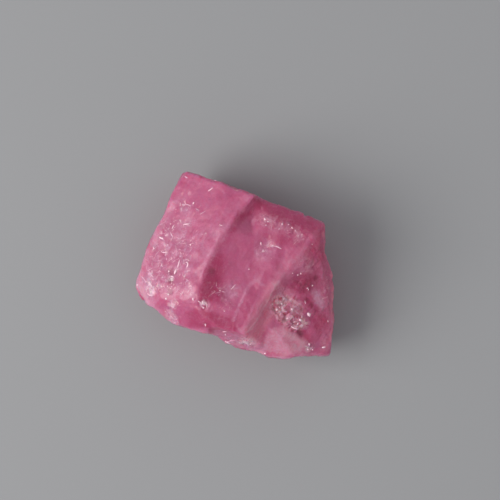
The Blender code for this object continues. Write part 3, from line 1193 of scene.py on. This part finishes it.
def strewn(kit: TreeKit, points: Any, thing: bpy.types.Node, turn: Any, length: Signal) -> bpy.types.Node:
    """Put a thing at each point.

    Args:
        points: The node that gives the points.
        thing: The node that gives the thing, which is 1 long.
        turn: The turn of each.
        length: The length of each.

    Returns:
        The node that gives the things.
    """
    size = kit.add("ShaderNodeCombineXYZ", dict.fromkeys("XYZ", length))
    inputs = {"Points": points, "Instance": thing, "Rotation": turn, "Scale": size}
    return kit.add("GeometryNodeInstanceOnPoints", inputs)


def ball(kit: TreeKit, sizes: Place) -> bpy.types.Node:
    """A coarse ball with these sizes."""
    round_one = kit.add("GeometryNodeMeshIcoSphere", {"Radius": 0.5, "Subdivisions": 1})
    return kit.add("GeometryNodeTransform", {"Geometry": round_one, "Scale": sizes})


class Form(Enum):
    """The shapes of the small things in the crystal, as sizes along, across and up."""

    SPLINTER = (1.0, 0.16, 0.08)
    TUBE = (1.0, 0.035, 0.035)
    FLAKE = (1.0, 0.62, 0.30)
    CHIP = (1.0, 0.75, 0.60)


@dataclass
class Scatter(Grown):
    """Many small things of one form, spread over the skin or buried under it."""

    name: str
    form: Form
    finish: PearlFinish
    mask: str  # the skin's mask that says where they are
    per_square: float  # how many to a square millimetre, where the mask is 1
    lengths: Point  # of the shortest and of the longest
    depths: Point  # under the skin, of the shallowest and of the deepest
    swing: float  # how far they turn from the growth axis, within the skin
    tilt: float  # how far they lean out of the skin
    seed: int
    cluster: float = 1.2  # the size of the patches that they gather in
    clearance: float = 0.6  # of its length, that a buried thing needs on both sides

    def sizes(self) -> dict[str, float | int]:
        """List the named inputs of the tree.

        Returns:
            The value of each.
        """
        return {
            "Density": self.per_square / MM**2,
            "Shortest": self.lengths[0] * MM,
            "Longest": self.lengths[1] * MM,
            "Shallowest": self.depths[0] * MM,
            "Deepest": self.depths[1] * MM,
            "Swing": math.radians(self.swing),
            "Tilt": math.radians(self.tilt),
            "Seed": self.seed,
        }

    def tree(self, kit: TreeKit) -> bpy.types.Node:
        """Spread the things over the skin.


        Returns:
            The node that gives the things.
        """
        patches = Lumps(self.cluster * MM, 1.0, 0.5)
        thick = kit.lumps(kit.add("GeometryNodeInputPosition"), patches, self.seed).step(0.46, 0.66)
        density = kit.attribute(self.mask) * thick * kit.given["Density"]
        inputs = {"Mesh": kit.entry, "Density": density, "Seed": kit.given["Seed"]}
        spread = kit.add("GeometryNodeDistributePointsOnFaces", inputs, distribute_method="RANDOM")
        depth = self.between(kit, kit.given["Shallowest"], kit.given["Deepest"], 1)
        inputs = {"Vector": spread.outputs["Normal"], "Scale": 0.0 - depth}
        offset = kit.add("ShaderNodeVectorMath", inputs, operation="SCALE")
        moved = kit.add("GeometryNodeSetPosition", {"Geometry": spread, "Offset": offset})
        turn = self.turned(kit, spread.outputs["Rotation"])
        length = self.between(kit, kit.given["Shortest"], kit.given["Longest"], 2)
        return strewn(kit, self.kept(kit, moved, turn, length), self.one(kit), turn, length)

    def between(self, kit: TreeKit, low: Any, high: Any, draw: int) -> Signal:
        """A random number for each thing, from low to high."""
        return kit.random(low, high, self.seed * 10 + draw)

    def turned(self, kit: TreeKit, base: Any) -> bpy.types.Node:
        """Turn each thing along the growth axis, then by its swing and its tilt.

        Args:
            base: The turn of the skin under each thing.

        Returns:
            The node that gives the turns.
        """
        inputs = {"Rotation": base, "Vector": (*ALONG, 0.0)}
        aligned = kit.add("FunctionNodeAlignRotationToVector", inputs, axis="X", pivot_axis="Z")
        turns = {
            axis: self.between(kit, 0.0 - kit.given[most], kit.given[most], draw)
            for axis, most, draw in (("Z", "Swing", 3), ("X", "Tilt", 4), ("Y", "Tilt", 5))
        }
        euler = kit.add("ShaderNodeCombineXYZ", turns)
        inputs = {"Rotation": aligned, "Rotate By": kit.add("FunctionNodeEulerToRotation", {"Euler": euler})}
        return kit.add("FunctionNodeRotateRotation", inputs, rotation_space="LOCAL")

    def kept(self, kit: TreeKit, points: bpy.types.Node, turn: Any, length: Signal) -> bpy.types.Node:
        """Drop each buried thing that would come out through the skin at either end.

        Args:
            points: The node that gives a point for each thing.
            turn: The turn of each.
            length: The length of each.

        Returns:
            The node that gives the points that stay.
        """
        if self.depths[0] <= 0.0:
            return points
        place = kit.add("GeometryNodeInputPosition")
        for side in (1.0, -1.0):
            inputs = {"Vector": (side, 0.0, 0.0), "Rotation": turn}
            inputs = {
                "Target Geometry": kit.entry,
                "Source Position": place,
                "Ray Direction": kit.add("FunctionNodeRotateVector", inputs),
                "Ray Length": length * self.clearance,
            }
            hit = kit.add("GeometryNodeRaycast", inputs).outputs["Is Hit"]
            inputs = {"Geometry": points, "Selection": hit}
            points = kit.add("GeometryNodeDeleteGeometry", inputs, domain="POINT")
        return points

    def one(self, kit: TreeKit) -> bpy.types.Node:
        """Make one thing, which is 1 long and lies along X.


        Returns:
            The node that gives it.
        """
        if self.form in (Form.FLAKE, Form.CHIP):
            return ball(kit, self.form.value)
        inputs = {"Vertices": 5, "Radius Top": 0.25, "Radius Bottom": 0.5, "Depth": 1.0}
        inputs = {
            "Geometry": kit.add("GeometryNodeMeshCone", inputs),
            "Translation": (-0.5, 0.0, 0.0),
            "Rotation": (0.0, math.pi / 2, 0.0),
            "Scale": (*self.form.value[1:], 1.0),
        }
        return kit.add("GeometryNodeTransform", inputs)

    def build(self, skin: bpy.types.Object) -> bpy.types.Object:
        """Scatter the things over a copy of the skin."""
        return self.grown(skin.data.copy())


class Sliver(Drawn):
    """A bright sliver in the skin, painted white as a glint, along a path seen from above or at one place.
    """


# Painted glints: white slivers put where tiny facets of the skin flash, and along cracks that hold such
# glints.
PAINTED_GLINT_SLIVERS = {
    "back corner": (
        Sliver(0.08, (-3.77, 6.69), (-3.52, 6.52)), Sliver(0.07, (-2.01, 5.53), (-1.86, 5.6), (-1.57, 5.82)),
    ),
    "left face": (
        Sliver(0.15, (-3.07, 4.66)), Sliver(0.07, (-3.72, 4.55), (-3.46, 4.53), (-3.2, 4.39)),
        Sliver(0.05, (-2.94, 4.28), (-2.62, 4.07)), Sliver(0.08, (-3.88, 3.06), (-3.37, 3.11)),
        Sliver(0.08, (-4.49, 3.07), (-4.71, 2.73)), Sliver(0.1, (-4.79, 3.11)),
        Sliver(0.07, (-4.88, 2.6), (-4.73, 2.34), (-4.57, 2.03)), Sliver(0.13, (-5.7, 2.15), (-5.31, 1.95)),
        Sliver(0.05, (-5.21, 3.23), (-5.1, 3.46)), Sliver(0.1, (-4.99, 1.54)),
        Sliver(0.07, (-5.47, 0.99), (-4.97, 0.96)), Sliver(0.08, (-6.11, 1.45), (-6.04, 1.19)),
        Sliver(0.06, (-4.17, 1.22), (-3.99, 1.18)), Sliver(0.06, (-4.07, 1.03), (-3.95, 0.85)),
        Sliver(0.12, (-3.27, 1.54)), Sliver(0.08, (-1.16, 3.04), (-0.87, 2.93)),
        Sliver(0.08, (-2.12, 2.46), (-2.1, 2.31)), Sliver(0.07, (-5.5, 0.18), (-5.38, -0.12)),
        Sliver(0.07, (-5.09, 0.6), (-5.06, 0.41)),
    ),
    "crack": (
        Sliver(0.09, (-4.04, 0.51), (-4.15, 0.15), (-4.25, -0.17)),
        Sliver(0.11, (-4.31, -0.25), (-4.41, -0.47), (-4.49, -0.68)),
        Sliver(0.16, (-4.92, -0.49), (-4.86, -0.35)), Sliver(0.11, (-4.76, -0.76), (-4.51, -0.88)),
        Sliver(0.09, (-4.63, -1.04), (-4.64, -1.16)), Sliver(0.07, (-4.66, -1.23), (-4.68, -1.37)),
        Sliver(0.06, (-4.66, -1.5), (-4.66, -1.63)), Sliver(0.09, (-5.01, -1.47), (-4.97, -1.63)),
        Sliver(0.12, (-4.97, -2.19), (-4.86, -2.11)), Sliver(0.15, (-5.1, -2.39), (-5.08, -2.56)),
        Sliver(0.05, (-5.25, -1.31), (-5.28, -1.6)),
    ),
    "comma": (
        Sliver(0.1, (-3.67, 0.21), (-3.51, 0.26), (-3.43, 0.13), (-3.5, -0.04), (-3.58, -0.19)),
        Sliver(0.05, (-3.76, 0.38), (-3.51, 0.46), (-3.29, 0.29)),
    ),
    "left tip": (
        Sliver(0.08, (-6.72, -1.23), (-6.37, -1.23), (-6.14, -1.64), (-5.99, -2.05)),
        Sliver(0.08, (-5.99, -2.05), (-6.23, -2.3), (-6.48, -2.17), (-6.69, -1.68)),
        Sliver(0.11, (-6.22, -1.75), (-6.04, -2.15)),
        Sliver(0.06, (-7.26, -0.46), (-6.96, -0.82), (-6.69, -1.19)),
        Sliver(0.06, (-6.41, -0.46), (-6.25, -0.68), (-6.08, -0.87)),
        Sliver(0.12, (-7.39, -1.53), (-7.29, -1.45)),
    ),
    "front left": (
        Sliver(0.05, (-4.16, -1.95), (-3.93, -2.13), (-3.79, -1.95), (-3.75, -1.66)),
        Sliver(0.05, (-3.47, -2.01), (-3.33, -1.74)), Sliver(0.09, (-3.09, -2.36), (-3.05, -2.62)),
        Sliver(0.07, (-4.73, -3.02), (-4.39, -3.2)), Sliver(0.06, (-4.64, -2.72), (-4.73, -2.94)),
        Sliver(0.07, (-4.85, -3.73), (-4.63, -3.87)), Sliver(0.07, (-4.51, -4.25), (-4.37, -4.33)),
    ),
    "bead": (
        Sliver(0.07, (-2.35, -2.65), (-2.08, -2.76), (-2.01, -2.94), (-2.12, -3.15)),
        Sliver(0.06, (-2.33, -3.17), (-2.45, -2.94)), Sliver(0.19, (-2.38, -2.64), (-2.27, -2.73)),
        Sliver(0.13, (-2.33, -3.08), (-2.23, -3.17)), Sliver(0.08, (-2.72, -2.6), (-2.47, -2.76)),
    ),
    "front slope": (
        Sliver(0.11, (-2.18, -4.31), (-2.14, -4.55)), Sliver(0.09, (-1.13, -1.83), (-0.98, -1.9)),
        Sliver(0.05, (-0.97, -1.9), (-0.64, -1.98)), Sliver(0.09, (-0.75, -3.36)),
        Sliver(0.07, (-0.2, -1.72), (0.09, -1.38)), Sliver(0.09, (-0.23, -1.71)),
    ),
    "ledge": (
        Sliver(0.06, (-0.93, -4.94), (-0.55, -4.92)), Sliver(0.09, (-0.7, -5.07), (-0.65, -5.25)),
        Sliver(0.12, (-0.74, -5.67), (-0.35, -5.86)), Sliver(0.07, (0.63, -5.55), (0.75, -5.65)),
        Sliver(0.09, (0.88, -5.8)), Sliver(0.08, (1.19, -5.89)), Sliver(0.07, (1.4, -5.7)),
        Sliver(0.13, (2.28, -6.61)),
    ),
    "speckled band": (
        Sliver(0.13, (2.18, 3.54), (2.31, 3.38)), Sliver(0.11, (2.49, 3.26)), Sliver(0.1, (2.34, 3.01)),
        Sliver(0.09, (3.53, 3.19), (3.52, 2.95)), Sliver(0.08, (3.99, 3.03)),
        Sliver(0.09, (4.2, 2.86), (4.35, 2.71)), Sliver(0.08, (4.5, 2.61)),
        Sliver(0.07, (3.25, 2.67), (3.38, 2.76)), Sliver(0.09, (5.0, 2.33)),
        Sliver(0.08, (5.72, 1.63), (5.79, 1.51)),
    ),
    "middle": (
        Sliver(0.07, (2.73, 1.53), (3.05, 1.4)), Sliver(0.08, (2.98, 1.47), (3.27, 1.35), (3.5, 1.21)),
        Sliver(0.08, (1.95, 1.75), (1.98, 1.48)), Sliver(0.08, (2.13, 1.22), (2.1, 0.96)),
        Sliver(0.1, (1.08, -0.26)), Sliver(0.06, (2.74, 0.52)),
    ),
    "hollow": (
        Sliver(0.21, (3.13, -3.21), (3.2, -3.32)), Sliver(0.18, (3.47, -2.79), (3.58, -2.87)),
        Sliver(0.1, (3.31, -3.06), (3.44, -3.17)), Sliver(0.21, (4.26, -3.17), (4.28, -3.43)),
        Sliver(0.22, (3.92, -3.85), (3.98, -3.96)), Sliver(0.2, (4.84, -3.99), (4.95, -4.16)),
        Sliver(0.09, (4.2, -4.51), (4.39, -4.66), (4.63, -4.73)), Sliver(0.09, (4.35, -4.25), (4.57, -4.16)),
        Sliver(0.09, (4.65, -4.43), (4.8, -4.28)), Sliver(0.08, (4.99, -3.94), (5.05, -3.72)),
        Sliver(0.25, (5.39, -3.52), (5.54, -3.63), (5.65, -3.88)), Sliver(0.06, (5.24, -2.62), (5.3, -2.87)),
        Sliver(0.08, (2.86, -2.42), (3.13, -2.39)), Sliver(0.1, (2.77, -2.82), (2.86, -2.91)),
        Sliver(0.14, (5.79, -1.5)), Sliver(0.12, (5.35, -1.68), (5.51, -1.66)),
        Sliver(0.08, (5.5, -1.71), (5.51, -1.86)), Sliver(0.12, (4.66, -0.74), (4.74, -0.67)),
        Sliver(0.12, (4.9, -0.53), (4.95, -0.67)), Sliver(0.09, (4.28, -0.61), (4.35, -0.53)),
    ),
    "right side": (
        Sliver(0.07, (6.99, -4.1), (7.02, -4.3)), Sliver(0.14, (6.55, -6.19), (6.85, -6.13)),
        Sliver(0.11, (5.57, -5.82), (5.62, -6.02)), Sliver(0.13, (5.47, -6.22), (5.53, -6.37)),
        Sliver(0.12, (5.85, -6.34)), Sliver(0.08, (5.36, -6.07)),
    ),
}


@dataclass
class BrightSlivers(Grown):
    """Painted glints: air-filled cracks and flakes, painted white where they meet the skin, for the flash of
    tiny facets.
    """

    name: str = "painted_glint_slivers"
    runs: int = 6  # points along each sliver
    sides: int = 5
    sunk: float = 0.30  # of its half width
    taper: float = 0.6
    wobble: Lumps = Lumps(MM / 9, 1.0, 0.5)  # of its width
    finish: PearlFinish = field(default_factory=lambda: CrackFinish("crack_with_painted_glint", Tint.SLIVER, 0.2))

    def sizes(self) -> dict[str, float | int]:
        """The value of each named input of the tree."""
        return {"Runs": self.runs, "Sides": self.sides}

    def paths(self, skin: bpy.types.Object) -> bpy.types.Mesh:
        """Lay each sliver's path on the skin.

        Args:
            skin: The crystal's piece.

        Returns:
            A mesh of lines, whose points hold each sliver's half width.
        """
        shape = bmesh.new()
        width = shape.verts.layers.float.new("half_width")
        for sliver in (each for group in PAINTED_GLINT_SLIVERS.values() for each in group):
            half = sliver.width / 2
            path = sliver.points
            if len(path) == 1:
                (x, y) = path[0]
                path = ((x - half * 0.5, y - half), (x + half * 0.5, y + half))
            before = None
            for x, y in path:
                start = Vector((x, y, CAD_BOX[1].z / MM + 1.0)) * MM
                hit, place, normal, _ = skin.ray_cast(start, Vector((0.0, 0.0, -1.0)))
                if not hit:
                    continue
                vertex = shape.verts.new(place - normal * half * self.sunk * MM)
                vertex[width] = half * MM
                if before is not None:
                    shape.edges.new((before, vertex))
                before = vertex
        return new_mesh(self.name, shape)

    def tree(self, kit: TreeKit) -> bpy.types.Node:
        """Give each line a body with tapered ends.


        Returns:
            The node that gives the slivers.
        """
        line = kit.add("GeometryNodeMeshToCurve", {"Mesh": kit.entry})
        even = kit.add("GeometryNodeResampleCurve", {"Curve": line, "Count": kit.given["Runs"]})
        share = kit.signal("GeometryNodeSplineParameter", None, "Factor")
        bulge = (share * (1.0 - share) * 4.0 + 0.08) ** self.taper
        wobble = kit.lumps(kit.add("GeometryNodeInputPosition"), self.wobble)
        inputs = {
            "Curve": even,
            "Profile Curve": kit.add("GeometryNodeCurvePrimitiveCircle", {"Resolution": kit.given["Sides"]}),
            "Scale": kit.attribute("half_width") * bulge * (wobble * 1.3 + 0.5),
            "Fill Caps": True,
        }
        return kit.add("GeometryNodeCurveToMesh", inputs)

    def build(self, skin: bpy.types.Object) -> bpy.types.Object:
        """Make the slivers on the skin."""
        return self.grown(self.paths(skin))


@dataclass
class HealedCrack(Grown):
    """A veil inside the crystal: a wavy sheet of tiny droplets, left where a crack healed."""

    name: str
    middle: Place
    size: Point
    lean: Place
    droplets: float  # to a square millimetre
    droplet: float = 0.045
    wave: float = 0.30
    margin: float = 0.10
    seed: int = 1
    cells: int = 24  # of the sheet, along each side
    swell: Lumps = Lumps(MM / 0.7, 2.0, 0.5)  # of its waves
    whorls: Lumps = Lumps(MM / 1.6, 3.0, 0.5, 1.4)  # that the droplets lie in
    sky: float = 20.0  # farther than the crystal is high
    finish: PearlFinish = field(default_factory=lambda: PearlFinish("healed_crack", Tint.NEEDLE, 0.3))

    def sizes(self) -> dict[str, float | int]:
        """List the named inputs of the tree.

        Returns:
            The value of each.
        """
        return {
            "Density": self.droplets / MM**2,
            "Droplet": self.droplet * MM,
            "Wave": self.wave * MM,
            "Margin": self.margin * MM,
        }

    def sheet(self, kit: TreeKit, place: bpy.types.Node) -> bpy.types.Node:
        """Make a wavy sheet, in its place in the crystal.

        Args:
            place: The node that gives the place of each point.

        Returns:
            The node that gives the sheet.
        """
        sides = {"Size X": self.size[0] * MM, "Size Y": self.size[1] * MM}
        flat = kit.add("GeometryNodeMeshGrid", sides | {"Vertices X": self.cells, "Vertices Y": self.cells})
        swell = kit.lumps(place, self.swell, self.seed)
        lift = kit.add("ShaderNodeCombineXYZ", {"Z": (swell - 0.5) * kit.given["Wave"] * 2.0})
        inputs = {
            "Geometry": kit.add("GeometryNodeSetPosition", {"Geometry": flat, "Offset": lift}),
            "Translation": [value * MM for value in self.middle],
            "Rotation": [math.radians(value) for value in self.lean],
        }
        return kit.add("GeometryNodeTransform", inputs)

    def outside(self, kit: TreeKit, place: bpy.types.Node) -> Signal:
        """Find the points that are outside the skin, or nearer to it than the margin.

        Args:
            place: The node that gives the place of each point.

        Returns:
            1 for such a point, and 0 for any other.
        """
        inputs = {
            "Target Geometry": kit.entry,
            "Source Position": place,
            "Ray Direction": (0.0, 0.0, 1.0),
            "Ray Length": self.sky * MM,
        }
        above = kit.add("GeometryNodeRaycast", inputs).outputs["Hit Normal"]
        up = kit.signal("ShaderNodeSeparateXYZ", {"Vector": above}, "Z")
        inputs = {"Geometry": kit.entry, "Sample Position": place}
        gap = kit.signal("GeometryNodeProximity", inputs, "Distance")
        open_sky = kit.maths("LESS_THAN", up, 0.001)
        return kit.maths("GREATER_THAN", open_sky + kit.maths("LESS_THAN", gap, kit.given["Margin"]), 0.5)

    def tree(self, kit: TreeKit) -> bpy.types.Node:
        """Strew droplets over a wavy sheet, and keep those inside the skin.


        Returns:
            The node that gives the droplets.
        """
        place = kit.add("GeometryNodeInputPosition")
        density = kit.given["Density"] * kit.lumps(place, self.whorls).step(0.47, 0.56)
        inputs = {"Mesh": self.sheet(kit, place), "Density": density, "Seed": self.seed}
        spread = kit.add("GeometryNodeDistributePointsOnFaces", inputs, distribute_method="RANDOM")
        inputs = {"Geometry": spread, "Selection": self.outside(kit, place)}
        inside = kit.add("GeometryNodeDeleteGeometry", inputs, domain="POINT")
        length = kit.given["Droplet"] * kit.random(0.4, 1.6, self.seed)
        return strewn(kit, inside, ball(kit, (1.0, 0.7, 0.35)), spread.outputs["Rotation"], length)

    def build(self, skin: bpy.types.Object) -> bpy.types.Object:
        """Make the veil inside the skin."""
        return self.grown(skin.data.copy())


def things_inside() -> tuple[Scatter | HealedCrack, ...]:
    """List the small things that lie in and on the crystal.

    Returns:
        A piece for each kind of them.
    """
    pale = PearlFinish("pale_needle", Tint.NEEDLE, 0.25)
    bright = PearlFinish("bright_chip", Tint.FLAKE, 0.2)
    splinter, chip, tube, flake = Form.SPLINTER, Form.CHIP, Form.TUBE, Form.FLAKE
    return (
        # Of each: its mask, how many, their lengths, depths, swing and tilt, the seed and the patches.
        Scatter("face_scratches", splinter, pale, "face", 6.0, (0.18, 0.55), (-0.005, 0.012), 80, 8, 11),
        Scatter("hollow_chunks", chip, pale, "rubble", 2.5, (0.12, 0.34), (0.05, 0.11), 180, 70, 12, 0.7),
        # white chips in the hollow: rubble, painted white as its sparkle
        Scatter("hollow_chips_and_painted_sparkle", chip, bright, "rubble", 12.0, (0.03, 0.10), (0.0, 0.03), 180, 70, 15, 0.5),
        Scatter("wall_scratches", splinter, pale, "flank", 0.5, (0.15, 0.7), (0.0, 0.02), 80, 8, 16, 2.0),
        Scatter("growth_tubes", tube, pale, "whole", 1.2, (0.5, 2.2), (0.25, 1.6), 10, 8, 13),
        Scatter("buried_flakes", flake, bright, "whole", 1.2, (0.06, 0.30), (0.10, 1.0), 180, 60, 14),
        # Of each: its middle, its size, its lean and how many droplets it has.
        HealedCrack("left_veil", (-3.6, 0.2, 3.9), (6.0, 6.5), (28.0, 12.0, 20.0), 70, seed=1),
        HealedCrack("middle_veil", (0.8, -1.2, 4.9), (5.0, 6.0), (-20.0, 18.0, 60.0), 60, seed=2),
        HealedCrack("right_veil", (4.0, 0.0, 3.6), (5.0, 5.5), (15.0, -30.0, -20.0), 60, seed=3),
    )


# The studio.


@dataclass
class Studio:
    """A plain pale floor, soft light from the left and a camera that looks straight down."""

    floor_side: float = 1600.0
    floor_gap: float = 0.02
    camera_place: Place = (1.15, 1.15, 200.0)
    lens: float = 187.7
    sensor: float = 36.0
    lamp_place: Place = (-230.0, -45.0, 190.0)
    lamp_side: float = 230.0
    lamp_power: float = 0.90
    sky_strength: float = 0.64

    def lay_floor(self) -> None:
        """Lay the floor just under the resting face."""
        shape = bmesh.new()
        bmesh.ops.create_grid(shape, x_segments=1, y_segments=1, size=self.floor_side / 2 * MM)
        bmesh.ops.translate(shape, verts=shape.verts[:], vec=(0.0, 0.0, -self.floor_gap * MM))
        floor = in_scene("floor", new_mesh("floor", shape))
        floor.data.materials.append(FloorFinish().material())

    def light(self) -> None:
        """Light the crystal from a large soft lamp, which faces it, and a pale sky."""
        lamp = bpy.data.lights.new("window", "AREA")
        lamp.size = self.lamp_side * MM
        lamp.energy = self.lamp_power
        lamp.color = Tint.LAMP.value
        window = in_scene("window", lamp)
        window.location = Vector(self.lamp_place) * MM
        window.rotation_euler = (-Vector(self.lamp_place)).to_track_quat("-Z", "Y").to_euler()
        world = bpy.data.worlds.new("sky")
        world.use_nodes = True
        background = world.node_tree.nodes["Background"]
        background.inputs["Color"].default_value = Tint.SKY.opaque
        background.inputs["Strength"].default_value = self.sky_strength
        bpy.context.scene.world = world

    def set_camera(self) -> None:
        """Look straight down on the crystal."""
        camera = bpy.data.cameras.new("camera")
        camera.lens = self.lens
        camera.sensor_width = self.sensor
        camera.clip_start = MM
        holder = in_scene("camera", camera)
        holder.location = Vector(self.camera_place) * MM
        bpy.context.scene.camera = holder

    def build(self) -> None:
        """Make the floor, the light and the camera."""
        self.lay_floor()
        self.light()
        self.set_camera()
        bpy.context.scene.view_settings.view_transform = "Standard"


def main() -> None:
    """Build the crystal and the studio."""
    logging.basicConfig(level=logging.INFO, format="%(name)s: %(message)s")
    Studio().build()
    crystal = CrystalSkin().build()
    for things in (BrightSlivers(), *things_inside()):
        things.build(crystal)


if __name__ == "__main__":
    main()
